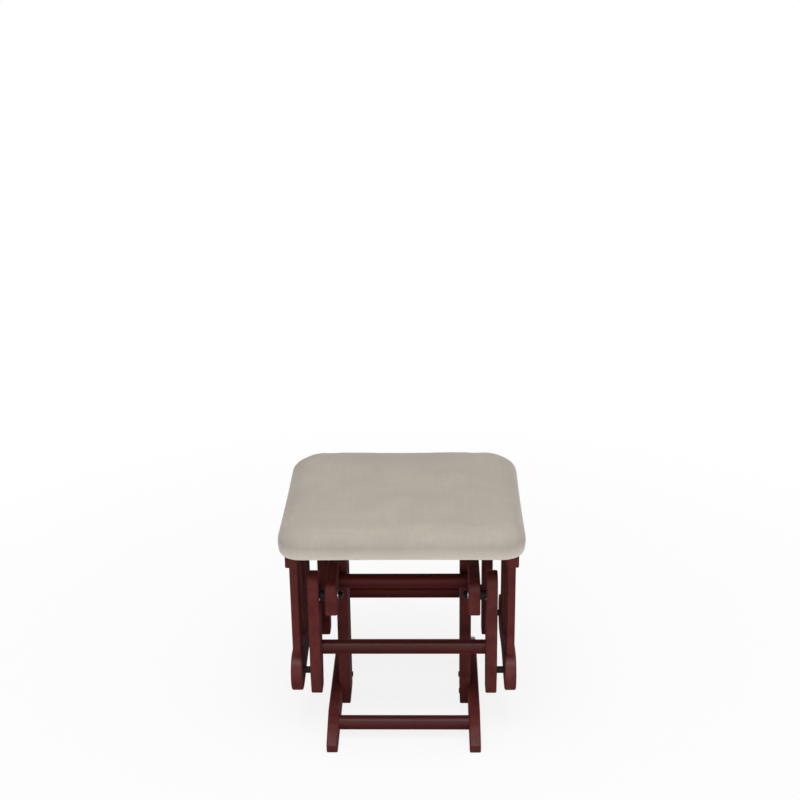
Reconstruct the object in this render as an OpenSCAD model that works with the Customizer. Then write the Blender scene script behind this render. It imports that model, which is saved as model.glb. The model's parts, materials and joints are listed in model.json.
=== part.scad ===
// Glider ottoman: a cushioned seat hung on two pairs of swinging link arms over a floor base.
// Millimetres. X is left to right, Y is front to back, Z is up.
// The origin is on the floor, under the middle of the ottoman. The front faces -Y.

/* [Boards and bars] */
// Thickness of the runners, posts, link arms and lower rails
board_t = 21; // [18:0.5:23]
// Thickness of the upper rails
rail_t = 22; // [20:0.5:24]
// Diameter of the round stretchers and crossbars
bar_d = 27; // [24:1:30]

/* [Base] */
// Distance between the outer faces of the two runners
base_w = 289; // [250:1:330]
// Length of each runner, front to back
runner_l = 396; // [360:1:440]
// Height of each runner
runner_h = 50; // [46:1:56]
// Rise of the shallow arch under each runner
arch_h = 8; // [5:1:12]
// Length of the flat foot at each end of a runner
foot_l = 34; // [26:1:44]
// Distance of the floor stretchers' centres from the runners' ends
floor_bar_inset = 58; // [50:1:66]
// Height of the floor stretchers' centres
floor_bar_z = 30; // [27:1:33]
// Width of each post, front to back
post_w = 80; // [74:1:84]
// Gap between the floor and the lower ends of the posts
post_lift = 1.5; // [1:0.5:5]
// Radius of the posts' lower corners
post_corner_r = 12; // [8:1:24]
// Depth to which the posts are let into the runners
post_housing = 5.5; // [3:0.5:7]
// Length of each upper rail, front to back
rail_l = 264; // [256:1:290]
// Height of each upper rail
rail_h = 64; // [54:1:72]
// Distance of the upper rails' outer faces inside those of the runners
rail_inset = 1; // [0.5:0.5:2]
// Radius of the upper rails' upper corners
rail_corner_r = 18; // [8:1:24]

/* [Link arms] */
// Gap between the seat board and the arms' upper ends
arm_headroom = 52; // [44:1:60]
// Distance between the front and rear pivots
pivot_spread = 216; // [206:1:220]
// Distance between the upper and lower pivot of an arm
link_l = 161; // [150:1:170]
// Width of each link arm, front to back
arm_w = 48; // [44:1:54]
// Width of each link arm at its hip, just above the lower pivot
arm_hip_w = 54; // [50:1:58]
// Width of each link arm at its lower end
arm_foot_w = 33; // [30:1:38]
// Height of the arms above the upper pivots
arm_above = 48; // [42:1:54]
// Depth of the arms below the lower pivots
arm_below = 43; // [36:1:48]
// Height of the crossbars above the lower pivots
crossbar_up = 50; // [44:1:56]
// Gap between an upper rail and a link arm
rail_gap = 11; // [9:0.5:15]
// Gap between a link arm and a lower rail
seat_gap = 15; // [12:0.5:20]

/* [Seat frame] */
// Height of the top faces of the top rails
seat_z = 387; // [375:1:405]
// Width of each top rail
top_rail_w = 22; // [20:1:26]
// Height of each top rail
top_rail_h = 24; // [20:1:28]
// Length of each top rail
top_rail_l = 298; // [280:1:330]
// Radius of the round ends of the lower rails
nose_r = 38; // [32:1:42]
// Height of the lower rails at their middle
lower_rail_h = 50; // [44:1:56]
// Rise of the arch under the lower rails
lower_rail_rise = 13; // [8:1:18]
// Thickness of the slats
slat_t = 15; // [12:0.5:17]
// Width of the slats
slat_w = 38; // [30:1:44]
// Distance between neighbouring slats' centres
slat_pitch = 98; // [80:1:104]

/* [Seat board and cushion] */
// Thickness of the plywood seat board
seat_board_t = 9; // [8:0.5:12]
// Length of the seat board, front to back
seat_board_l = 286; // [270:1:292]
// Overhang of the cushion beyond each top rail
cushion_overhang = 12.5; // [6:0.5:16]
// Depth of the cushion, front to back
cushion_l = 397; // [385:1:430]
// Thickness of the cushion at its crown
cushion_t = 69; // [60:1:78]
// Radius of the cushion's corners at its widest, seen from above
cushion_corner_r = 53; // [46:1:60]

/* [Hardware] */
// Diameter of the pivot bolts
pivot_bolt_d = 8; // [6:0.5:8]
// Outer diameter of the bearings
bearing_d = 22; // [21:0.5:23]
// Width of the bearings
bearing_w = 7; // [6:0.5:8]
// Diameter of the bolts that hold the frame together
frame_bolt_d = 6; // [5:0.5:6]

/* [Hidden] */

$fn = 48;
WOOD = [0.30, 0.10, 0.09];
PLY = [0.72, 0.55, 0.37];
FABRIC = [0.70, 0.66, 0.61];
BLACK = [0.08, 0.08, 0.08];
ZINC = [0.70, 0.71, 0.72];

// Overrun of cuts past the faces that they open
over = 1;
// Radial clearance of bolts in their holes and of the bearings' inner rings in the outer rings
run_fit = 0.05;
// Radial clearance of a seated bearing or insert, and of a tenon in its mortise
seat_fit = 0.02;
// Gap between the upper stretcher and the posts
bar_gap = 1;
// Gap between the cushion and the seat board
cushion_fit = 0.3;

// Faces of the layers from the middle outwards, as distances from the middle plane
runner_out = base_w / 2;
runner_in = runner_out - board_t;
post_out = runner_in + post_housing;
post_in = post_out - board_t;
rail_out = runner_out - rail_inset;
rail_in = rail_out - rail_t;
arm_in = rail_out + rail_gap;
arm_out = arm_in + board_t;
side_in = arm_out + seat_gap;
side_out = side_in + board_t;
side_mid = (side_in + side_out) / 2;

// Places of the pivots and the bars
pivot_y = pivot_spread / 2;
pivot_z = seat_z - arm_headroom - arm_above;
low_pivot_z = pivot_z - link_l;
crossbar_z = low_pivot_z + crossbar_up;
floor_bar_y = runner_l / 2 - floor_bar_inset;
upper_bar_y = -(post_w + bar_d) / 2 - bar_gap;
rail_bottom = pivot_z - rail_h / 2;
rail_top = pivot_z + rail_h / 2;

// Runner outline: shares of its height at the toe's front corner and on its sloping nose
toe_front_share = 0.35;
toe_slope_shares = [[0.5, 0.70], [1, 1]];
toe_setback = 2;
toe_reach = 71;
arch_steps = 20;

// Link arm outline: places of the hip and waist as shares of the hip's width
hip_up_share = 0.3;
waist_up_share = 0.6;
foot_corner = 5;

// Bolt patterns
frame_bolt_pitch = 60;
frame_bolt_low_z = 30;
frame_head_r = 5.3;
frame_head_h = 3.5;
frame_head_pocket_r = 6;
low_head_sink = 1.5;
frame_nut_r = 5.8;
frame_nut_h = 5;
frame_nut_pocket_r = 7;
frame_nut_pocket = 6;
bar_bolt_head_r = 5.2;
bar_bolt_head_h = 4;
bar_bolt_pocket = 5;
bar_bolt_pocket_r = 6.5;
bar_bolt_l = 34;
insert_r = 5;
insert_l = 15;
frame_key_r = 2.3;
pivot_key_r = 2.9;
key_depth = 2;

// Pivot hardware
ring_split_d = 15;
shoulder_d = 18;
pivot_head_r = 7.3;
pivot_head_h = 5.3;
pivot_nut_h = 6.5;
pivot_tail = 2.5;
washer_r = 8;
washer_t = 1.6;
collar_r = 10;
collar_neck = 1;
collar_neck_r = 6.5;
spacer_r = 6.5;
seat_pocket = 8;
seat_pocket_r = 10;
button_r = 7;
button_h = 4.5;

// Slats and seat screws
tenon = 8;
slat_nose_sink = 4;
slat_places = [-slat_pitch, 0, slat_pitch];
screw_r = 2;
screw_head_r = 4;
screw_head_h = 2.5;
screw_pitch = 120;
screw_shift = 11;
screw_bite = 6;
top_rail_edge = 5;

// Cushion form
cushion_w = 2 * (side_mid + top_rail_w / 2 + cushion_overhang);
cushion_z = seat_z + seat_board_t + cushion_fit;
cushion_bottom_share = 0.36;
cushion_edge_share = 0.88;
cushion_under_x = 8;
cushion_under_y = 18;
cushion_over = 39;
cushion_low_r = 24;
cushion_rim_r = 56;
cushion_draw = 1;
corner_steps = 7;
side_steps = 5;
under_steps = 4;
over_steps = 6;
crown_steps = 5;

board_span = 2 * (side_mid + top_rail_w / 2) - 2 * top_rail_edge;

// Puts a drawing of the side view into space: drawing x becomes Y, drawing y becomes Z
module side_board(x, t) translate([x, 0, 0]) rotate([90, 0, 90]) linear_extrude(t) children();

// A round solid along X, from x on
module rod(x, y, z, r, l, sides = $fn)
    translate([x, y, z]) rotate([0, 90, 0]) cylinder(r = r, h = l, $fn = sides);

// The right side as drawn, or its mirror image
module on_side(right) if (right) children(); else mirror([1, 0, 0]) children();
module both_sides() { children(); mirror([1, 0, 0]) children(); }

function arc(c, r, a0, a1, n) = [for (i = [0:n]) let (a = a0 + (a1 - a0) * i / n) c + r * [cos(a), sin(a)]];
function flip(list) = [for (i = [len(list) - 1:-1:0]) [-list[i][0], list[i][1]]];

// Front half of the runner's outline, from the middle of the arch round the toe to the middle of the top
function runner_front() = concat(
    [for (i = [0:arch_steps]) let (s = i / arch_steps, y = -s * (runner_l / 2 - toe_setback - foot_l))
        [y, arch_h * (cos(180 * s) + 1) / 2]],
    [[-runner_l / 2 + toe_setback, 0], [-runner_l / 2, runner_h * toe_front_share]],
    [for (p = toe_slope_shares) [-runner_l / 2 + p[0] * toe_reach, runner_h * p[1]]]);

module runner_outline() {
    front = runner_front();
    tail = [for (i = [1:len(front) - 1]) front[i]];
    polygon(concat(front, flip(tail)));
}

module stretcher_pockets(x_in, x_out, y, z) {
    rod(x_in - over, y, z, frame_bolt_d / 2 + run_fit, x_out - x_in + 2 * over);
    rod(x_out - bar_bolt_pocket, y, z, bar_bolt_pocket_r, bar_bolt_pocket + over);
}

// Two holes through a lapped board and the post, with nut pockets in the outer face and sunk heads
module frame_holes(z, x_out, sink) for (y = frame_bolt_places) {
    rod(post_in - over, y, z, frame_bolt_d / 2 + run_fit, x_out - post_in + 2 * over);
    rod(x_out - frame_nut_pocket, y, z, frame_nut_pocket_r, frame_nut_pocket + over);
    rod(post_in - over, y, z, frame_head_pocket_r, sink + over);
}

// Runner, with a housing for the post in its inner face
module runner(right) color(WOOD) on_side(right) difference() {
    side_board(runner_in, board_t) runner_outline();
    side_board(runner_in - over, post_housing + over) post_outline(seat_fit);
    for (s = [-1, 1]) stretcher_pockets(runner_in, runner_out, s * floor_bar_y, floor_bar_z);
    frame_holes(frame_bolt_low_z, runner_out, low_head_sink);
}

// Post seen from the side, with a clearance around it
module post_outline(fit) {
    half = post_w / 2 + fit;
    low = post_lift + post_corner_r;
    translate([-half, low]) square([2 * half, rail_top + over * sign(fit) - low]);
    translate([-half + post_corner_r, post_lift]) square([2 * half - 2 * post_corner_r, 2 * post_corner_r]);
    for (s = [-1, 1]) translate([s * (half - post_corner_r), low]) circle(r = post_corner_r);
}

module post(right) color(WOOD) on_side(right) difference() {
    side_board(post_in, board_t) post_outline(0);
    frame_holes(frame_bolt_low_z, runner_out, low_head_sink);
    frame_holes(pivot_z, rail_out, frame_head_h);
}

// Upper rail, housed over the post
module upper_rail(right) color(WOOD) on_side(right) difference() {
    side_board(rail_in, rail_t) {
        translate([-rail_l / 2, rail_bottom]) square([rail_l, rail_h - rail_corner_r]);
        translate([-rail_l / 2 + rail_corner_r, rail_bottom]) square([rail_l - 2 * rail_corner_r, rail_h]);
        for (y = [-rail_l / 2 + rail_corner_r, rail_l / 2 - rail_corner_r])
            translate([y, rail_top - rail_corner_r]) circle(r = rail_corner_r);
    }
    side_board(rail_in - over, post_out - rail_in + over) post_outline(seat_fit);
    stretcher_pockets(rail_in, rail_out, upper_bar_y, pivot_z);
    frame_holes(pivot_z, rail_out, frame_head_h);
    for (y = [-pivot_y, pivot_y])
        rod(rail_in - over, y, pivot_z, pivot_bolt_d / 2 + run_fit, rail_t + 2 * over);
}

// A round bar between two inner faces, with a bolt hole and an insert pocket in each end
module bar(y, z, half_l) difference() {
    rod(-half_l, y, z, bar_d / 2, 2 * half_l);
    both_sides() {
        rod(half_l - bar_bolt_l, y, z, frame_bolt_d / 2 + run_fit, bar_bolt_l + over);
        rod(half_l - insert_l, y, z, insert_r + seat_fit, insert_l + over);
    }
}

// The bolt that comes through a board of thickness t with its outer face at x_out, into a bar
module bar_bolt(x_out, t, y, z) {
    seat = x_out - bar_bolt_pocket;
    difference() {
        rod(seat, y, z, bar_bolt_head_r, bar_bolt_head_h);
        rod(seat + bar_bolt_head_h - key_depth, y, z, frame_key_r, key_depth + over, 6);
    }
    rod(x_out - t - insert_l, y, z, frame_bolt_d / 2, t + insert_l - bar_bolt_pocket);
}

module insert(x_in, y, z) difference() {
    rod(x_in - insert_l, y, z, insert_r, insert_l);
    rod(x_in - insert_l - over, y, z, frame_bolt_d / 2 + run_fit, insert_l + 2 * over);
}

module upper_stretcher() color(WOOD) bar(upper_bar_y, pivot_z, rail_in);
module front_floor_stretcher() color(WOOD) bar(-floor_bar_y, floor_bar_z, runner_in);
module rear_floor_stretcher() color(WOOD) bar(floor_bar_y, floor_bar_z, runner_in);

// Where the floor stretchers meet the runners
floor_bar_places = [-floor_bar_y, floor_bar_y];

module stretcher_bolts() color(BLACK) both_sides() {
    for (y = floor_bar_places) bar_bolt(runner_out, board_t, y, floor_bar_z);
    bar_bolt(rail_out, rail_t, upper_bar_y, pivot_z);
}
module stretcher_inserts() color(ZINC) both_sides() {
    for (y = floor_bar_places) insert(runner_in, y, floor_bar_z);
    insert(rail_in, upper_bar_y, pivot_z);
}

// Bolts that clamp the posts to the runners and to the upper rails
frame_bolt_places = [-frame_bolt_pitch / 2, frame_bolt_pitch / 2];
frame_bolt_rows = [[frame_bolt_low_z, runner_out, low_head_sink], [pivot_z, rail_out, frame_head_h]];

module frame_bolts() color(BLACK) both_sides() for (y = frame_bolt_places, p = frame_bolt_rows) {
    head = post_in + p[2];
    difference() {
        rod(head - frame_head_h, y, p[0], frame_head_r, frame_head_h);
        rod(head - frame_head_h - over, y, p[0], frame_key_r, key_depth + over, 6);
    }
    rod(head, y, p[0], frame_bolt_d / 2, p[1] - frame_nut_pocket + frame_nut_h - head);
}

module frame_nuts() color(BLACK) both_sides() for (y = frame_bolt_places, p = frame_bolt_rows)
    difference() {
        rod(p[1] - frame_nut_pocket, y, p[0], frame_nut_r, frame_nut_h, 6);
        rod(p[1] - frame_nut_pocket - over, y, p[0], frame_bolt_d / 2 + run_fit, frame_nut_h + 2 * over);
    }

// Link arm seen from the side, about its upper pivot, without its round upper end
module arm_outline() {
    tip = arm_above - arm_w / 2;
    hip = -link_l + arm_hip_w * hip_up_share;
    waist = hip + arm_hip_w * waist_up_share;
    foot = -link_l - arm_below;
    half = [[arm_w / 2, tip], [arm_w / 2, waist], [arm_hip_w / 2, hip],
            [arm_foot_w / 2 + foot_corner / 2, foot + foot_corner],
            [arm_foot_w / 2 - foot_corner / 2, foot]];
    polygon(concat(half, flip(half)));
}

// Link arm with its bearing pockets: the upper one opens inwards, the lower one outwards
module arm(right, y) color(WOOD) on_side(right) difference() {
    union() {
        side_board(arm_in, board_t) translate([y, pivot_z]) arm_outline();
        rod(arm_in, y, pivot_z + arm_above - arm_w / 2, arm_w / 2, board_t);
    }
    rod(arm_in - over, y, pivot_z, bearing_d / 2 + seat_fit, bearing_w + over);
    rod(arm_in, y, pivot_z, shoulder_d / 2, board_t + over);
    rod(arm_out - bearing_w, y, low_pivot_z, bearing_d / 2 + seat_fit, bearing_w + over);
    rod(arm_in - over, y, low_pivot_z, shoulder_d / 2, board_t + over);
    rod(arm_in - over, y, crossbar_z, frame_bolt_d / 2 + run_fit, board_t + 2 * over);
    rod(arm_out - bar_bolt_pocket, y, crossbar_z, bar_bolt_pocket_r, bar_bolt_pocket + over);
}

module ring(x, y, z, r_out, r_in, l) difference() {
    rod(x, y, z, r_out, l);
    rod(x - over, y, z, r_in, l + 2 * over);
}

module arm_crossbar(y) color(WOOD) bar(y, crossbar_z, arm_in);
module crossbar_bolts(y) color(BLACK) both_sides() bar_bolt(arm_out, board_t, y, crossbar_z);
module crossbar_inserts(y) color(ZINC) both_sides() insert(arm_in, y, crossbar_z);

module bearing_outer_rings(y) color(ZINC) both_sides() {
    ring(arm_in, y, pivot_z, bearing_d / 2, ring_split_d / 2, bearing_w);
    ring(arm_out - bearing_w, y, low_pivot_z, bearing_d / 2, ring_split_d / 2, bearing_w);
}

module at_pivots() both_sides() for (s = [-1, 1]) translate([0, s * pivot_y, 0]) children();

module inner_ring(x, z) ring(x, 0, z, ring_split_d / 2 - run_fit, pivot_bolt_d / 2 + run_fit, bearing_w);
module hex_nut(x, z) difference() {
    rod(x, 0, z, pivot_head_r, pivot_nut_h, 6);
    rod(x - over, 0, z, pivot_bolt_d / 2 + run_fit, pivot_nut_h + 2 * over);
}

// Upper pivots: a hex bolt from inside the arm, through the bearing, a black collar and the rail
nut_in = rail_in - washer_t - pivot_nut_h;
module upper_pivot_bolts() color(BLACK) at_pivots() {
    rod(arm_in + bearing_w, 0, pivot_z, pivot_head_r, pivot_head_h, 6);
    rod(nut_in - pivot_tail, 0, pivot_z, pivot_bolt_d / 2, arm_in + bearing_w - nut_in + pivot_tail);
}
module upper_pivot_nuts() color(BLACK) at_pivots() hex_nut(nut_in, pivot_z);
module upper_pivot_washers() color(ZINC) at_pivots()
    ring(rail_in - washer_t, 0, pivot_z, washer_r, pivot_bolt_d / 2 + run_fit, washer_t);
module upper_pivot_spacers() color(BLACK) at_pivots() difference() {
    union() {
        rod(rail_out, 0, pivot_z, collar_r, rail_gap - collar_neck);
        rod(rail_out, 0, pivot_z, collar_neck_r, rail_gap);
    }
    rod(rail_out - over, 0, pivot_z, pivot_bolt_d / 2 + run_fit, rail_gap + 2 * over);
}
module upper_bearing_inner_rings() color(ZINC) at_pivots() inner_ring(arm_in, pivot_z);

// Lower pivots: a button-head bolt sunk in the lower rail, a black spacer, the bearing and a nut
button_seat = side_out - seat_pocket + washer_t;
low_nut = arm_out - bearing_w - pivot_nut_h;
module lower_pivot_bolts() color(BLACK) at_pivots() {
    difference() {
        rod(button_seat, 0, low_pivot_z, button_r, button_h);
        rod(button_seat + button_h - key_depth, 0, low_pivot_z, pivot_key_r, key_depth + over, 6);
    }
    rod(low_nut - pivot_tail, 0, low_pivot_z, pivot_bolt_d / 2, button_seat - low_nut + pivot_tail);
}
module lower_pivot_nuts() color(BLACK) at_pivots() hex_nut(low_nut, low_pivot_z);
module lower_pivot_washers() color(ZINC) at_pivots()
    ring(side_out - seat_pocket, 0, low_pivot_z, washer_r, pivot_bolt_d / 2 + run_fit, washer_t);
module lower_pivot_spacers() color(BLACK) at_pivots()
    ring(arm_out, 0, low_pivot_z, spacer_r, pivot_bolt_d / 2 + run_fit, seat_gap);
module lower_bearing_inner_rings() color(ZINC) at_pivots() inner_ring(arm_out - bearing_w, low_pivot_z);

// Slats stand in mortises of the lower and top rails
slat_foot = low_pivot_z - nose_r + lower_rail_rise + lower_rail_h - tenon;
slat_nose_foot = low_pivot_z + nose_r - tenon - slat_nose_sink;
function slat_low(y) = y == 0 ? slat_foot : slat_nose_foot;
slat_top = seat_z - top_rail_h + tenon;

module slat_shape(y, fit) translate([side_mid - slat_t / 2 - fit, y - slat_w / 2 - fit, slat_low(y) - fit])
    cube([slat_t + 2 * fit, slat_w + 2 * fit, slat_top - slat_low(y) + 2 * fit]);

module slat(right, i) color(WOOD) on_side(right) slat_shape(slat_places[i], 0);

// Lower rail seen from the side: round noses about the pivots, joined by an arched body
rail_steps = 16;
function rail_blend(s) = (1 - cos(180 * s)) / 2;
module lower_rail_outline() {
    bottom = low_pivot_z - nose_r;
    middle = bottom + lower_rail_rise;
    top = low_pivot_z + nose_r;
    dip = top - middle - lower_rail_h;
    for (s = [-1, 1]) translate([s * pivot_y, low_pivot_z]) circle(r = nose_r);
    polygon(concat(
        [for (i = [0:rail_steps]) let (s = 2 * i / rail_steps - 1)
            [s * pivot_y, bottom + lower_rail_rise * rail_blend(1 - abs(s))]],
        [for (i = [rail_steps:-1:0]) let (s = 2 * i / rail_steps - 1)
            [s * pivot_y, top - dip * rail_blend(1 - abs(s))]]));
}

module lower_rail(right) color(WOOD) on_side(right) difference() {
    side_board(side_in, board_t) lower_rail_outline();
    for (y = slat_places) slat_shape(y, seat_fit);
    for (s = [-1, 1]) {
        rod(side_in - over, s * pivot_y, low_pivot_z, pivot_bolt_d / 2 + run_fit, board_t + 2 * over);
        rod(side_out - seat_pocket, s * pivot_y, low_pivot_z, seat_pocket_r, seat_pocket + over);
    }
}

// Screws come up through the top rails into the seat board, between the slats
screw_places = [-screw_pitch / 2 + screw_shift, screw_pitch / 2 - screw_shift];
module seat_screw(y, fit) {
    translate([side_mid, y, seat_z - top_rail_h - over * (fit > 0 ? 1 : 0)])
        cylinder(r = screw_r + fit, h = top_rail_h + screw_bite + over * (fit > 0 ? 1 : 0));
    translate([side_mid, y, seat_z - top_rail_h - over * (fit > 0 ? 1 : 0)])
        cylinder(r = screw_head_r + fit, h = screw_head_h + over * (fit > 0 ? 1 : 0));
}

module top_rail(right) color(WOOD) on_side(right) difference() {
    translate([side_mid - top_rail_w / 2, -top_rail_l / 2, seat_z - top_rail_h])
        cube([top_rail_w, top_rail_l, top_rail_h]);
    for (y = slat_places) slat_shape(y, seat_fit);
    for (y = screw_places) seat_screw(y, run_fit);
}

module seat_screws() color(ZINC) both_sides() for (y = screw_places) seat_screw(y, 0);

module seat_board() color(PLY) difference() {
    translate([-board_span / 2, -seat_board_l / 2, seat_z]) cube([board_span, seat_board_l, seat_board_t]);
    both_sides() for (y = screw_places) seat_screw(y, run_fit);
}

// Cushion: stacked rings of a rounded rectangle, tucked under at the rim and crowned on top
function cushion_ring(in_x, in_y, r, z) = let (hx = cushion_w / 2 - in_x, hy = cushion_l / 2 - in_y,
        corners = [[hx - r, hy - r, 0], [r - hx, hy - r, 90], [r - hx, r - hy, 180], [hx - r, r - hy, 270]])
    [for (c = corners) each concat(
        [for (p = arc([c[0], c[1]], r, c[2], c[2] + 90, corner_steps)) [p[0], p[1], z]],
        side_points(c, hx, hy, r, z))];
// Points along the side that follows a corner, drawn in a little towards its middle
function side_points(c, hx, hy, r, z) = let (a = c[2] + 90, along = a % 180 == 90 ? hx - r : hy - r,
        out = a % 180 == 90 ? hy : hx)
    [for (i = [1:side_steps]) let (s = i / (side_steps + 1), t = along * (1 - 2 * s),
            o = out - cushion_draw * sin(180 * s))
        [o * cos(a) + t * sin(a), o * sin(a) - t * cos(a), z]];

cushion_mid = cushion_z + cushion_t * cushion_bottom_share;
cushion_rim = cushion_z + cushion_t * cushion_edge_share;
under_rise = cushion_mid - cushion_z;
over_rise = cushion_rim - cushion_mid;
crown_rise = cushion_z + cushion_t - cushion_rim;
low_tighter = cushion_corner_r - cushion_low_r;
rim_wider = cushion_rim_r - cushion_corner_r;
cushion_levels = concat(
    [for (i = [0:under_steps]) let (a = -90 + 90 * i / under_steps, c = 1 - cos(a))
        [cushion_under_x * c, cushion_under_y * c, cushion_corner_r - low_tighter * c,
            cushion_mid + under_rise * sin(a)]],
    [for (i = [1:over_steps]) let (a = 90 * i / over_steps, c = 1 - cos(a))
        [cushion_over * c, cushion_over * c, cushion_corner_r + rim_wider * c,
            cushion_mid + over_rise * sin(a)]]);

module seat_cushion() color(FABRIC) {
    body = [for (l = cushion_levels) cushion_ring(l[0], l[1], l[2], l[3])];
    rim = body[len(body) - 1];
    crown = [for (i = [1:crown_steps]) let (s = i / (crown_steps + 1))
        [for (p = rim) [p[0] * (1 - s), p[1] * (1 - s), cushion_rim + crown_rise * sin(90 * s)]]];
    rings = concat(body, crown);
    n = len(rings[0]);
    m = len(rings);
    points = concat([for (r = rings) each r], [[0, 0, cushion_z], [0, 0, cushion_z + cushion_t]]);
    polyhedron(points = points, faces = concat(
        [for (i = [0:n - 1]) [m * n, i, (i + 1) % n]],
        [for (j = [0:m - 2], i = [0:n - 1]) [j * n + i, (j + 1) * n + i, (j + 1) * n + (i + 1) % n]],
        [for (j = [0:m - 2], i = [0:n - 1]) [j * n + i, (j + 1) * n + (i + 1) % n, j * n + (i + 1) % n]],
        [for (i = [0:n - 1]) [m * n + 1, (m - 1) * n + (i + 1) % n, (m - 1) * n + i]]));
}

runner(false);  // runner_left
runner(true);  // runner_right
post(false);  // post_left
post(true);  // post_right
upper_rail(false);  // upper_rail_left
upper_rail(true);  // upper_rail_right
upper_stretcher();
front_floor_stretcher();
rear_floor_stretcher();
upper_pivot_bolts();
upper_pivot_nuts();
upper_pivot_washers();
upper_pivot_spacers();
upper_bearing_inner_rings();
frame_bolts();
frame_nuts();
stretcher_bolts();
stretcher_inserts();
arm(false, -pivot_y);  // front_arm_left
arm(true, -pivot_y);  // front_arm_right
arm_crossbar(-pivot_y);  // front_arm_crossbar
bearing_outer_rings(-pivot_y);  // front_bearing_outer_rings
crossbar_bolts(-pivot_y);  // front_crossbar_bolts
crossbar_inserts(-pivot_y);  // front_crossbar_inserts
arm(false, pivot_y);  // rear_arm_left
arm(true, pivot_y);  // rear_arm_right
arm_crossbar(pivot_y);  // rear_arm_crossbar
bearing_outer_rings(pivot_y);  // rear_bearing_outer_rings
crossbar_bolts(pivot_y);  // rear_crossbar_bolts
crossbar_inserts(pivot_y);  // rear_crossbar_inserts
lower_rail(false);  // lower_rail_left
lower_rail(true);  // lower_rail_right
top_rail(false);  // top_rail_left
top_rail(true);  // top_rail_right
slat(false, 0);  // slat_left_front
slat(false, 1);  // slat_left_middle
slat(false, 2);  // slat_left_rear
slat(true, 0);  // slat_right_front
slat(true, 1);  // slat_right_middle
slat(true, 2);  // slat_right_rear
lower_pivot_bolts();
lower_pivot_nuts();
lower_pivot_washers();
lower_pivot_spacers();
lower_bearing_inner_rings();
seat_board();
seat_screws();
seat_cushion();
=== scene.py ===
"""Looks of the glider ottoman: lacquered boards, an upholstered cushion and metal hardware."""

import json
import math

import bmesh
import bpy
from mathutils import Matrix, Vector


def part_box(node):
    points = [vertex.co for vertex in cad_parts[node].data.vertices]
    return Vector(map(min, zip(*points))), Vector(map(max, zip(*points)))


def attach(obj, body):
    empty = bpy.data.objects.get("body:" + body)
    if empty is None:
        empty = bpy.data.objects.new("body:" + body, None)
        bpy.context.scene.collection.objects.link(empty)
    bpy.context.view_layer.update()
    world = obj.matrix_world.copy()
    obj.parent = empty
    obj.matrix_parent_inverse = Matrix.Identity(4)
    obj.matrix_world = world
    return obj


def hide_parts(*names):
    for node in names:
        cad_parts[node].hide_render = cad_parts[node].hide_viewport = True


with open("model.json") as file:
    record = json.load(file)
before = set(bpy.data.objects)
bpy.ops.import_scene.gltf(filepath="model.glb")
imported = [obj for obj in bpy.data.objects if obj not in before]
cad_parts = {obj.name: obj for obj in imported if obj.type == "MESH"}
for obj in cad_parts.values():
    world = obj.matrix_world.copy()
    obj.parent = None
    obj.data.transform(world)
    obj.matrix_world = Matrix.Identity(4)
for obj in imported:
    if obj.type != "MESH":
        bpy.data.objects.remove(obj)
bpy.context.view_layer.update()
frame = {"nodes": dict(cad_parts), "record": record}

scene = bpy.context.scene
nodes = frame["nodes"]
bodies = frame["record"]["behaviour"]["bodies"]
body_of = {name: body for body, members in bodies.items() for name in members}
slot_of = {row["node"]: row["material_slot"] for row in frame["record"]["subparts"]}

# Colours, as linear red, green and blue
WOOD_RED = (0.076, 0.0028, 0.0022)
WOOD_DARK = (0.042, 0.0014, 0.0011)
# Paler colour of the rounded-over edges: partly rubbed wear, partly a painted highlight in place of
# the lamps' reflection
WOOD_WEAR_AND_HIGHLIGHT = (0.155, 0.034, 0.028)
PLY_LIGHT = (0.52, 0.36, 0.20)
PLY_DARK = (0.36, 0.22, 0.11)
FABRIC_BASE = (0.440, 0.396, 0.342)
FABRIC_DEEP = (0.370, 0.330, 0.283)
# Painted light: the paler colour given to the cushion's foot, standing in for the light it would
# catch from the front and the floor
FABRIC_PAINTED_LIGHT = (0.800, 0.730, 0.650)
FABRIC_SHEEN = (0.95, 0.92, 0.88)
ZINC = (0.42, 0.43, 0.44)
STEEL = (0.52, 0.52, 0.53)
BLACK_OXIDE = (0.014, 0.014, 0.015)
BLACK_PLASTIC = (0.006, 0.006, 0.0065)
FLOOR_GREY = (0.86, 0.86, 0.86)
WHITE = (1.0, 1.0, 1.0)

# The lacquer's roughness where it is dull, and its share of satin on level tops
DULL_ROUGHNESS = 0.96
LEVEL_SATIN = 0.1

# Components of the surface's normal between which the lacquer turns from satin to dull or back
BROAD_SIDE_X = (0.35, 0.85)
LEVEL_TOP_Z = (0.945, 0.99)
UNDERSIDE_Z = (-0.35, 0.75)

# Threads of the fabric's weave: the wave texture's scale, and how much the upright ones count
WEAVE_SCALE = 260.0
UPRIGHT_SHARE = 0.5

# Height of the band of painted light along the cushion's lower edge, in metres: the foot is made
# paler in place of the light it would catch
PAINTED_LIGHT_BAND = 0.030

# Edge rounding of the boards, in metres. Chains of edges below the limit are bores and stay sharp
BOARD_ROUND = 0.0026
SLAT_ROUND = 0.0016
ROUND_STEPS = 3
BORE_LIMIT = 0.045
WELD = 0.00001

# Angles that tell sharp edges from smooth ones
OUTLINE_ANGLE = math.radians(28)
FLAT_ANGLE = math.radians(0.6)
BOARD_SHADE_ANGLE = math.radians(40)
CUSHION_SHADE_ANGLE = math.radians(50)

# Swelling of the cushion, with its measures in metres
VOXEL = 0.0055
START_INSET = 0.0008
SWELL_FRAMES = 20
SWELL_PRESSURE = 4.0
SWELL_SLACK = 0.03
SWELL_CAP = 0.0015
PIN_DEPTH = 0.008

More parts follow.
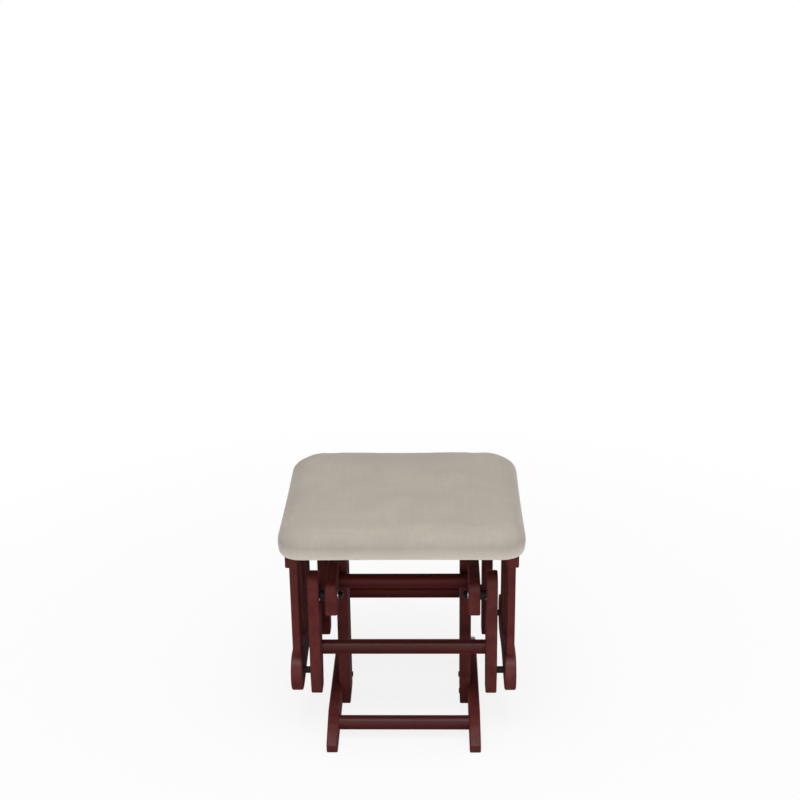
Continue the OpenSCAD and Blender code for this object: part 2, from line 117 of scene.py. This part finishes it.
# Pleats at the cushion's lower corners: depth in metres, and how far they reach, as a share of its
# half width and of its height
PLEAT_DEPTH = 0.0011
PLEATS_PER_CORNER = 5
PLEAT_CORNER = 0.20
PLEAT_RISE = 0.42

# The cover's hem round the seat board, in metres: cloth thickness, width under the board, corner
# radius, reach up into the cushion and ripple of the free edge
HEM_CLOTH = 0.0009
HEM_UNDER = 0.022
HEM_CORNER = 0.0015
HEM_TUCK = 0.004
HEM_RIPPLE = 0.0012

# The hem's section, in cloth thicknesses: bulge at mid height, lower edge, underside and gap
HEM_BULGE = 1.2
HEM_EDGE = 0.3
HEM_DROP = 0.6
HEM_GAP = 0.1

# The hem's points along a side and steps round a corner, and the ripple's angle at a side's end
HEM_SIDE_POINTS = 24
HEM_CORNER_STEPS = 4
HEM_RIPPLE_ANGLE = 42.0

# Camera, solved from the photograph
CAMERA_PLACE = Vector((0.0593, -2.3779, 1.5379))
CAMERA_YAW = math.radians(-1.5)
CAMERA_PITCH = math.radians(20.84)
CAMERA_ROLL = math.radians(-0.79)
CAMERA_LENS = 62.21
CAMERA_SENSOR = 36.0

# Floor: half its side and where it fades into the white background, in metres, and how white it
# is near the object
FLOOR_REACH = 60.0
FLOOR_FADE = (0.35, 1.5)
FLOOR_NEAR_WHITE = 0.86

# Light of the room, and the softboxes: place, aim, size in metres and power in watts
ROOM_LIGHT = 0.36
SOFTBOXES = {
    "overhead_softbox": ((0.0, -0.85, 2.75), (0.0, 0.0, 0.2), (1.8, 1.9), 50.0),
    "front_softbox": ((0.2, -2.7, 0.5), (0.0, 0.0, 0.2), (1.9, 0.6), 14.0),
    "left_softbox": ((-2.4, -0.4, 1.2), (0.0, 0.0, 0.25), (1.2, 1.4), 2.0),
    "right_softbox": ((2.4, -0.4, 1.2), (0.0, 0.0, 0.25), (1.2, 1.4), 5.0),
}


# A material and small helpers for its nodes
class Graph:
    def __init__(self, name):
        self.material = bpy.data.materials.new(name)
        self.material.use_nodes = True
        self.tree = self.material.node_tree
        self.tree.nodes.clear()
        self.shader = self.node("ShaderNodeBsdfPrincipled")
        self.out = self.node("ShaderNodeOutputMaterial")
        self.link(self.shader.outputs["BSDF"], self.out.inputs["Surface"])
        self.place = self.node("ShaderNodeTexCoord").outputs["Object"]

    def node(self, kind, **values):
        made = self.tree.nodes.new(kind)
        for key, value in values.items():
            setattr(made, key, value)
        return made

    def link(self, a, b):
        self.tree.links.new(a, b)

    def feed(self, socket, value):
        if isinstance(value, bpy.types.NodeSocket):
            self.link(value, socket)
        else:
            socket.default_value = value

    def feed_inputs(self, made, **values):
        for key, value in values.items():
            self.feed(made.inputs[key.replace("_", " ")], value)

    def stretch(self, scale):
        made = self.node("ShaderNodeMapping")
        self.feed_inputs(made, Vector=self.place, Scale=scale)
        return made.outputs["Vector"]

    def noise(self, vector, scale=1.0, detail=2.0, roughness=0.5, distortion=0.0):
        made = self.node("ShaderNodeTexNoise")
        self.feed_inputs(made, Vector=vector, Scale=scale, Detail=detail, Roughness=roughness,
                         Distortion=distortion)
        return made.outputs["Fac"]

    def wave(self, direction, scale, distortion=0.0, detail=0.0):
        made = self.node("ShaderNodeTexWave", wave_type="BANDS", bands_direction=direction)
        self.feed_inputs(made, Vector=self.place, Scale=scale, Distortion=distortion, Detail=detail)
        return made.outputs["Fac"]

    def math(self, kind, a, b):
        made = self.node("ShaderNodeMath", operation=kind)
        self.feed(made.inputs[0], a)
        self.feed(made.inputs[1], b)
        return made.outputs[0]

    # Carries a value from one range over to another, and holds it at the ends
    def span(self, value, old, new=(0.0, 1.0)):
        made = self.node("ShaderNodeMapRange")
        self.feed_inputs(made, Value=value, From_Min=old[0], From_Max=old[1], To_Min=new[0],
                         To_Max=new[1])
        return made.outputs["Result"]

    def mix(self, share, a, b):
        made = self.node("ShaderNodeMix", data_type="RGBA")
        self.feed(made.inputs["Factor"], share)
        for key, value in (("A", a), ("B", b)):
            socket = next(s for s in made.inputs if s.name == key and s.type == "RGBA")
            self.feed(socket, value if isinstance(value, bpy.types.NodeSocket) else (*value, 1.0))
        return next(s for s in made.outputs if s.type == "RGBA")

    def bump(self, height, distance, strength, below=None):
        made = self.node("ShaderNodeBump")
        self.feed_inputs(made, Distance=distance, Strength=strength, Height=height)
        if below is not None:
            self.link(below, made.inputs["Normal"])
        return made.outputs["Normal"]

    def parts(self, vector):
        made = self.node("ShaderNodeSeparateXYZ")
        self.link(vector, made.inputs[0])
        return made.outputs

    def set(self, **sockets):
        self.feed_inputs(self.shader, **sockets)


# The lacquer's roughness: satin on edges and round the bars, dull on broad, level and under faces
def lacquer(g, satin):
    normal = g.parts(g.node("ShaderNodeTexCoord").outputs["Normal"])
    broad = g.span(g.math("ABSOLUTE", normal["X"], 0.0), BROAD_SIDE_X, (1.0, 0.0))
    level = g.span(normal["Z"], LEVEL_TOP_Z, (1.0, LEVEL_SATIN))
    under = g.span(normal["Z"], UNDERSIDE_Z)
    share = g.math("MULTIPLY", g.math("MULTIPLY", broad, level), under)
    dull = g.span(share, (0.0, 1.0), (DULL_ROUGHNESS, 0.0))
    return g.math("ADD", g.math("MULTIPLY", satin, share), dull)


# Stained and lacquered wood with its grain along one axis
def wood(name, axis):
    g = Graph(name)

    def drawn_out(along, across):
        return g.stretch([along if i == axis else across for i in range(3)])

    figure = g.noise(drawn_out(along=1.6, across=22.0), detail=4.0, roughness=0.55, distortion=0.6)
    streaks = g.noise(drawn_out(along=9.0, across=260.0), roughness=0.6)
    cloud = g.noise(g.place, scale=9.0)
    patchy_wear_and_sheen = g.noise(g.place, scale=38.0, detail=3.0)
    uneven = g.noise(g.place, scale=60.0)
    # Paler rounded-over edges, varied in patches: partly rubbed wear, partly a painted highlight in
    # place of the lamps' reflection
    edge = g.node("ShaderNodeAttribute", attribute_name="edge").outputs["Fac"]
    wear_and_highlight = g.math("MULTIPLY", edge, g.span(patchy_wear_and_sheen, (0.30, 0.75), (0.10, 0.50)))
    tone = g.mix(g.span(figure, (0.35, 0.68)), WOOD_RED, WOOD_DARK)
    tone = g.mix(g.span(streaks, (0.56, 0.72), (0.0, 0.55)), tone, WOOD_DARK)
    tone = g.mix(wear_and_highlight, tone, WOOD_WEAR_AND_HIGHLIGHT)
    satin = g.span(cloud, (0.3, 0.7), (0.34, 0.42))
    satin = g.math("ADD", satin, g.span(streaks, (0.5, 0.75), (0.0, 0.08)))
    relief = g.bump(uneven, distance=0.0003, strength=0.5)
    relief = g.bump(streaks, distance=0.00012, strength=0.8, below=relief)
    g.set(Base_Color=tone, Roughness=lacquer(g, satin), Specular_IOR_Level=0.26, Normal=relief)
    return g.material


# Plain birch plywood, with its layers showing at the edges
def plywood(name):
    g = Graph(name)
    veneer = g.noise(g.stretch((3.0, 60.0, 60.0)), detail=4.0, roughness=0.6, distortion=0.4)
    layers = g.wave("Z", scale=90.0)
    tone = g.mix(g.span(veneer, (0.35, 0.7)), PLY_LIGHT, PLY_DARK)
    tone = g.mix(g.span(layers, (0.55, 0.8), (0.0, 0.4)), tone, PLY_DARK)
    g.set(Base_Color=tone, Roughness=g.span(veneer, (0.3, 0.7), (0.55, 0.75)))
    g.set(Specular_IOR_Level=0.3, Normal=g.bump(veneer, distance=0.0002, strength=0.8))
    return g.material


# Short-pile upholstery fabric: a fine weave under a brushed nap, with a paler band of painted light
# along the foot
def fabric(name):
    g = Graph(name)
    nap = g.noise(g.place, scale=11.0, detail=5.0, roughness=0.62, distortion=0.4)
    pile = g.noise(g.place, scale=1400.0, roughness=0.6)
    threads = g.math("ADD", g.noise(g.stretch((210.0, 14.0, 60.0))),
                     g.noise(g.stretch((14.0, 210.0, 60.0))))
    warp, weft, upright = (g.wave(way, WEAVE_SCALE, distortion=0.6, detail=1.0) for way in "XYZ")
    upright = g.math("MULTIPLY", upright, UPRIGHT_SHARE)
    weave = g.math("ADD", g.math("MULTIPLY", warp, weft), upright)
    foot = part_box("seat_cushion")[0].z
    # Painted light: a band along the foot is made paler, in place of the light it would catch from
    # the front and the floor
    painted_light_band = g.span(g.parts(g.place)["Z"], (foot, foot + PAINTED_LIGHT_BAND), (1.0, 0.0))
    tone = g.mix(g.span(nap, (0.34, 0.70), (0.0, 0.75)), FABRIC_BASE, FABRIC_DEEP)
    tone = g.mix(g.span(threads, (0.80, 1.25), (0.0, 0.38)), tone, FABRIC_DEEP)
    tone = g.mix(g.span(pile, (0.40, 0.70), (0.0, 0.30)), tone, FABRIC_DEEP)
    tone = g.mix(painted_light_band, tone, FABRIC_PAINTED_LIGHT)
    relief = g.bump(weave, distance=0.00018, strength=0.6)
    relief = g.bump(pile, distance=0.00025, strength=0.55, below=relief)
    relief = g.bump(nap, distance=0.0006, strength=0.4, below=relief)
    g.set(Base_Color=tone, Roughness=g.span(nap, (0.3, 0.7), (0.82, 0.95)), Normal=relief)
    g.set(Specular_IOR_Level=0.15, Sheen_Weight=0.40, Sheen_Roughness=0.35)
    g.set(Sheen_Tint=(*FABRIC_SHEEN, 1.0))
    return g.material


# Metal with faint turning marks and slight dulling
def metal(name, colour, roughness):
    g = Graph(name)
    marks = g.noise(g.stretch((1200.0, 160.0, 160.0)), roughness=0.6)
    dull = g.noise(g.place, scale=180.0, detail=3.0, roughness=0.6)
    darker = tuple(0.6 * c for c in colour)
    g.set(Base_Color=g.mix(g.span(dull, (0.4, 0.75), (0.0, 0.7)), colour, darker), Metallic=1.0)
    g.set(Roughness=g.span(g.math("MULTIPLY", marks, dull), (0.1, 0.45), roughness))
    g.set(Normal=g.bump(marks, distance=0.00004, strength=0.7))
    return g.material


# Moulded plastic with a fine matte grain
def plastic(name, colour):
    g = Graph(name)
    grain = g.noise(g.place, scale=900.0, roughness=0.6)
    scuff = g.noise(g.place, scale=120.0, detail=4.0, roughness=0.65)
    lighter = tuple(2.6 * c for c in colour)
    g.set(Base_Color=g.mix(g.span(scuff, (0.55, 0.8)), colour, lighter))
    g.set(Roughness=g.span(scuff, (0.3, 0.7), (0.46, 0.62)), Specular_IOR_Level=0.2)
    g.set(Normal=g.bump(grain, distance=0.00006, strength=0.8))
    return g.material


wood_along = [wood(f"wood_grain_{letter}", axis) for axis, letter in enumerate("xyz")]
finishes = {
    "plywood": plywood("birch_plywood"),
    "cushion_fabric": fabric("upholstery_fabric"),
    "black_plastic": plastic("black_moulded_plastic", BLACK_PLASTIC),
    "black_steel": metal("black_oxide_steel", BLACK_OXIDE, (0.38, 0.55)),
    "zinc_steel": metal("zinc_plated_steel", ZINC, (0.28, 0.46)),
    "bearing_steel": metal("ground_bearing_steel", STEEL, (0.16, 0.30)),
}


# The finish of a node. Wood grain runs along the longest side of the node's box
def finish_of(name):
    if slot_of[name] != "lacquered_wood":
        return finishes[slot_of[name]]
    low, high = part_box(name)
    return wood_along[max(range(3), key=lambda i: high[i] - low[i])]


def wear(obj, material):
    obj.data.materials.clear()
    obj.data.materials.append(material)


def new_piece(name, mesh, body, replaced):
    obj = bpy.data.objects.new(name, mesh)
    scene.collection.objects.link(obj)
    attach(obj, body)
    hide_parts(replaced)
    return obj


# A mesh open for editing, with its doubled points joined
def open_mesh(mesh):
    bm = bmesh.new()
    bm.from_mesh(mesh)
    bmesh.ops.remove_doubles(bm, verts=bm.verts, dist=WELD)
    return bm


def close_mesh(bm, mesh):
    bm.to_mesh(mesh)
    bm.free()


# Groups of sharp edges that join end to end, so that outlines can be told from bores
def edge_chains(bm):
    sharp = {e for e in bm.edges if len(e.link_faces) == 2 and e.calc_face_angle() > OUTLINE_ANGLE}
    chains = []
    while sharp:
        front = [sharp.pop()]
        chain = list(front)
        while front:
            edge = front.pop()
            for vert in edge.verts:
                for other in vert.link_edges:
                    if other in sharp:
                        sharp.remove(other)
                        front.append(other)
                        chain.append(other)
        chains.append(chain)
    return chains


def chain_size(chain):
    points = [v.co for e in chain for v in e.verts]
    return max(max(p[i] for p in points) - min(p[i] for p in points) for i in range(3))


# A board with its outline rounded over, copied from its CAD node
def rounded_board(name, radius):
    bm = open_mesh(nodes[name].data)
    bmesh.ops.dissolve_limit(bm, angle_limit=FLAT_ANGLE, verts=bm.verts, edges=bm.edges)
    outline = [e for chain in edge_chains(bm) if chain_size(chain) > BORE_LIMIT for e in chain]
    made = bmesh.ops.bevel(bm, geom=outline, offset=radius, offset_type="OFFSET",
                           segments=ROUND_STEPS, profile=0.5, affect="EDGES", clamp_overlap=False)
    # Marks the rounded-over faces, which the wood paints paler for wear and a painted highlight
    edge = bm.verts.layers.float.new("edge")
    for face in made["faces"]:
        for vert in face.verts:
            vert[edge] = 1.0
    for face in bm.faces:
        face.smooth = True
    for e in bm.edges:
        e.smooth = len(e.link_faces) == 2 and e.calc_face_angle(0.0) < BOARD_SHADE_ANGLE
    mesh = bpy.data.meshes.new(name + "_rounded")
    close_mesh(bm, mesh)
    obj = new_piece(name + "_rounded", mesh, body_of[name], name)
    obj.modifiers.new("flats", "WEIGHTED_NORMAL").keep_sharp = True
    wear(obj, finish_of(name))


# Replaces an object's mesh by what its modifiers make of it
def bake_modifiers(obj):
    graph = bpy.context.evaluated_depsgraph_get()
    mesh = bpy.data.meshes.new_from_object(obj.evaluated_get(graph), depsgraph=graph)
    obj.modifiers.clear()
    obj.data = mesh


# Swells the pad outwards with cloth pressure, its flat underside held, up to the cap
def swell(obj, floor_z):
    held = obj.vertex_groups.new(name="held")
    held.add([v.index for v in obj.data.vertices if v.co.z < floor_z + PIN_DEPTH], 1.0, "REPLACE")
    start = [(v.co.copy(), v.normal.copy()) for v in obj.data.vertices]
    cloth = obj.modifiers.new("swell", "CLOTH")
    cloth.settings.vertex_group_mass = "held"
    cloth.settings.quality = 6
    cloth.settings.mass = 0.3
    cloth.settings.tension_stiffness = 15
    cloth.settings.compression_stiffness = 15
    cloth.settings.bending_stiffness = 0.5
    cloth.settings.shrink_min = -SWELL_SLACK
    cloth.settings.use_pressure = True
    cloth.settings.uniform_pressure_force = SWELL_PRESSURE
    cloth.settings.effector_weights.gravity = 0
    cloth.point_cache.frame_start = 1
    cloth.point_cache.frame_end = SWELL_FRAMES
    for number in range(1, SWELL_FRAMES + 1):
        scene.frame_set(number)
    bake_modifiers(obj)
    scene.frame_set(1)
    for vert, (before, normal) in zip(obj.data.vertices, start):
        rise = (vert.co - before).dot(normal)
        vert.co = before + normal * min(max(rise, 0.0), SWELL_CAP)


# Small pleats where the fabric is gathered under each corner
def pleat_corners(mesh, low, high):
    middle = (low + high) / 2
    half = (high - low) / 2
    inner = 1 - PLEAT_CORNER
    for vert in mesh.vertices:
        x, y = abs(vert.co.x - middle.x), abs(vert.co.y - middle.y)
        near = max(0.0, min(Vector((x / half.x, y / half.y))) - inner) / PLEAT_CORNER
        height = (vert.co.z - low.z) / (PLEAT_RISE * (high.z - low.z))
        under = 1.0 - min(1.0, max(0.0, height))
        if near > 0 and under > 0:
            turn = math.atan2(y - half.y * inner, x - half.x * inner)
            fold = math.cos(turn * 4 * PLEATS_PER_CORNER) * PLEAT_DEPTH * min(1.0, near * 2) * under
            away = Vector((vert.co.x - middle.x, vert.co.y - middle.y, 0.0)).normalized()
            vert.co += away * fold


# The hem's points along one side of the seat board and round the corner after it
def hem_quarter(half, quarter, offset):
    turn = quarter * math.pi / 2
    side = Vector((math.cos(turn), math.sin(turn)))
    across = Vector((-side.y, side.x))
    reach, width = (half.x, half.y) if quarter % 2 == 0 else (half.y, half.x)
    along = width + min(offset, 0.0) - HEM_CORNER
    height = HEM_RIPPLE if offset <= -HEM_UNDER else 0.0
    points = []
    for k in range(HEM_SIDE_POINTS):
        share = -1 + 2 * (k + 0.5) / HEM_SIDE_POINTS
        ripple = height * math.sin(HEM_RIPPLE_ANGLE * share + quarter)
        points.append(side * (reach + offset + ripple) + across * share * along)
    inset = min(offset, -HEM_CORNER)
    centre = side * (reach + inset) + across * (width + inset)
    radius = max(0.0, HEM_CORNER + offset)
    for k in range(HEM_CORNER_STEPS + 1):
        angle = turn + math.pi / 2 * k / HEM_CORNER_STEPS
        points.append(centre + Vector((math.cos(angle), math.sin(angle))) * radius)
    return points


# Adds the hem: the cover wraps the seat board's edge and is held flat under it
def add_hem(mesh):
    low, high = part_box("seat_board")
    half = (high - low) / 2
    middle = (low + high) / 2
    top = high.z + HEM_TUCK
    bottom = low.z - HEM_DROP * HEM_CLOTH
    gap = HEM_GAP * HEM_CLOTH
    profile = [(HEM_CLOTH, top), (HEM_BULGE * HEM_CLOTH, middle.z),
               (HEM_CLOTH, low.z + HEM_CLOTH / 2), (HEM_EDGE * HEM_CLOTH, bottom),
               (-HEM_UNDER, bottom), (-HEM_UNDER, low.z - gap), (gap, low.z - gap), (gap, top)]
    bm = bmesh.new()
    bm.from_mesh(mesh)
    rings = []
    for offset, z in profile:
        points = [p for quarter in range(4) for p in hem_quarter(half, quarter, offset)]
        rings.append([bm.verts.new((middle.x + p.x, middle.y + p.y, z)) for p in points])
    count = len(rings[0])
    for a, b in zip(rings, rings[1:] + rings[:1]):
        for k in range(count):
            bm.faces.new((a[k], b[k], b[(k + 1) % count], a[(k + 1) % count]))
    bmesh.ops.remove_doubles(bm, verts=[v for ring in rings for v in ring], dist=WELD)
    bmesh.ops.recalc_face_normals(bm, faces=bm.faces)
    close_mesh(bm, mesh)


# The upholstered pad, formed from the CAD cushion
def upholstered_cushion(name):
    low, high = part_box(name)
    middle = (low + high) / 2
    anchor = Vector((middle.x, middle.y, low.z))
    share = [1 - 2 * START_INSET / (high[i] - low[i]) for i in range(3)]
    shrink = Matrix.Diagonal((*share, 1.0))
    mesh = nodes[name].data.copy()
    mesh.transform(Matrix.Translation(anchor) @ shrink @ Matrix.Translation(-anchor))
    close_mesh(open_mesh(mesh), mesh)
    obj = new_piece("upholstered_cushion", mesh, body_of[name], name)
    remesh = obj.modifiers.new("even", "REMESH")
    remesh.mode = "VOXEL"
    remesh.voxel_size = VOXEL
    bake_modifiers(obj)
    swell(obj, low.z)
    pleat_corners(obj.data, low, high)
    smooth = obj.modifiers.new("smooth", "SMOOTH")
    smooth.factor = 0.5
    smooth.iterations = 2
    finer = obj.modifiers.new("finer", "SUBSURF")
    finer.levels = 1
    finer.render_levels = 1
    bake_modifiers(obj)
    add_hem(obj.data)
    for polygon in obj.data.polygons:
        polygon.use_smooth = True
    obj.data.set_sharp_from_angle(angle=CUSHION_SHADE_ANGLE)
    wear(obj, finish_of(name))


for name in nodes:
    if name == "seat_cushion":
        upholstered_cushion(name)
    elif slot_of[name] == "lacquered_wood" and not ("stretcher" in name or "crossbar" in name):
        rounded_board(name, SLAT_ROUND if name.startswith("slat") else BOARD_ROUND)
    else:
        wear(nodes[name], finish_of(name))


def add_camera():
    sy, cy = math.sin(CAMERA_YAW), math.cos(CAMERA_YAW)
    sp, cp = math.sin(CAMERA_PITCH), math.cos(CAMERA_PITCH)
    sr, cr = math.sin(CAMERA_ROLL), math.cos(CAMERA_ROLL)
    forward = Vector((cp * sy, cp * cy, -sp))
    level = Vector((cy, -sy, 0.0))
    down = Vector((-sp * sy, -sp * cy, -cp))
    right = cr * level - sr * down
    low = sr * level + cr * down
    data = bpy.data.cameras.new("photo_camera")
    data.sensor_width = CAMERA_SENSOR
    data.lens = CAMERA_LENS
    data.clip_start, data.clip_end = 0.05, 200.0
    turn = Matrix((right, -low, -forward)).transposed().to_4x4()
    obj = bpy.data.objects.new("photo_camera", data)
    obj.matrix_world = Matrix.Translation(CAMERA_PLACE) @ turn
    scene.collection.objects.link(obj)
    scene.camera = obj


# Rays that see the white background: straight from the camera, or off metal and through glass
def seen_rays(new_node, link):
    path = new_node("ShaderNodeLightPath")
    seen = path.outputs["Is Camera Ray"]
    for kind in ("Is Glossy Ray", "Is Transmission Ray"):
        total = new_node("ShaderNodeMath")
        total.operation = "ADD"
        total.use_clamp = True
        link(seen, total.inputs[0])
        link(path.outputs[kind], total.inputs[1])
        seen = total.outputs[0]
    return seen


# A pale floor that keeps the soft shadow and fades to the white background
def add_floor():
    mesh = bpy.data.meshes.new("floor")
    square = ((-1, -1), (1, -1), (1, 1), (-1, 1))
    corners = [(x * FLOOR_REACH, y * FLOOR_REACH, 0.0) for x, y in square]
    mesh.from_pydata(corners, [], [(0, 1, 2, 3)])
    obj = bpy.data.objects.new("floor", mesh)
    scene.collection.objects.link(obj)
    g = Graph("pale_floor")
    g.set(Base_Color=(*FLOOR_GREY, 1.0), Roughness=0.9, Specular_IOR_Level=0.1)
    white = g.node("ShaderNodeEmission")
    distance = g.node("ShaderNodeVectorMath", operation="LENGTH")
    g.link(g.place, distance.inputs[0])
    fade = g.span(distance.outputs["Value"], FLOOR_FADE, (FLOOR_NEAR_WHITE, 1.0))
    blend = g.node("ShaderNodeMixShader")
    g.link(g.math("MULTIPLY", seen_rays(g.node, g.link), fade), blend.inputs[0])
    g.link(g.shader.outputs[0], blend.inputs[1])
    g.link(white.outputs[0], blend.inputs[2])
    g.link(blend.outputs[0], g.out.inputs["Surface"])
    wear(obj, g.material)


def add_world():
    world = bpy.data.worlds.new("studio")
    world.use_nodes = True
    tree = world.node_tree
    back = tree.nodes["Background"]
    back.inputs["Color"].default_value = (*WHITE, 1.0)
    level = tree.nodes.new("ShaderNodeMapRange")
    level.inputs["To Min"].default_value = ROOM_LIGHT
    tree.links.new(seen_rays(tree.nodes.new, tree.links.new), level.inputs["Value"])
    tree.links.new(level.outputs["Result"], back.inputs["Strength"])
    scene.world = world


def add_softbox(name, place, aim, size, power):
    data = bpy.data.lights.new(name, "AREA")
    data.shape = "RECTANGLE"
    data.size, data.size_y = size
    data.energy = power
    obj = bpy.data.objects.new(name, data)
    obj.location = place
    obj.rotation_mode = "QUATERNION"
    obj.rotation_quaternion = (Vector(aim) - Vector(place)).to_track_quat("-Z", "Y")
    scene.collection.objects.link(obj)


add_camera()
add_floor()
add_world()
for name, values in SOFTBOXES.items():
    add_softbox(name, *values)

scene.view_settings.view_transform = "Standard"
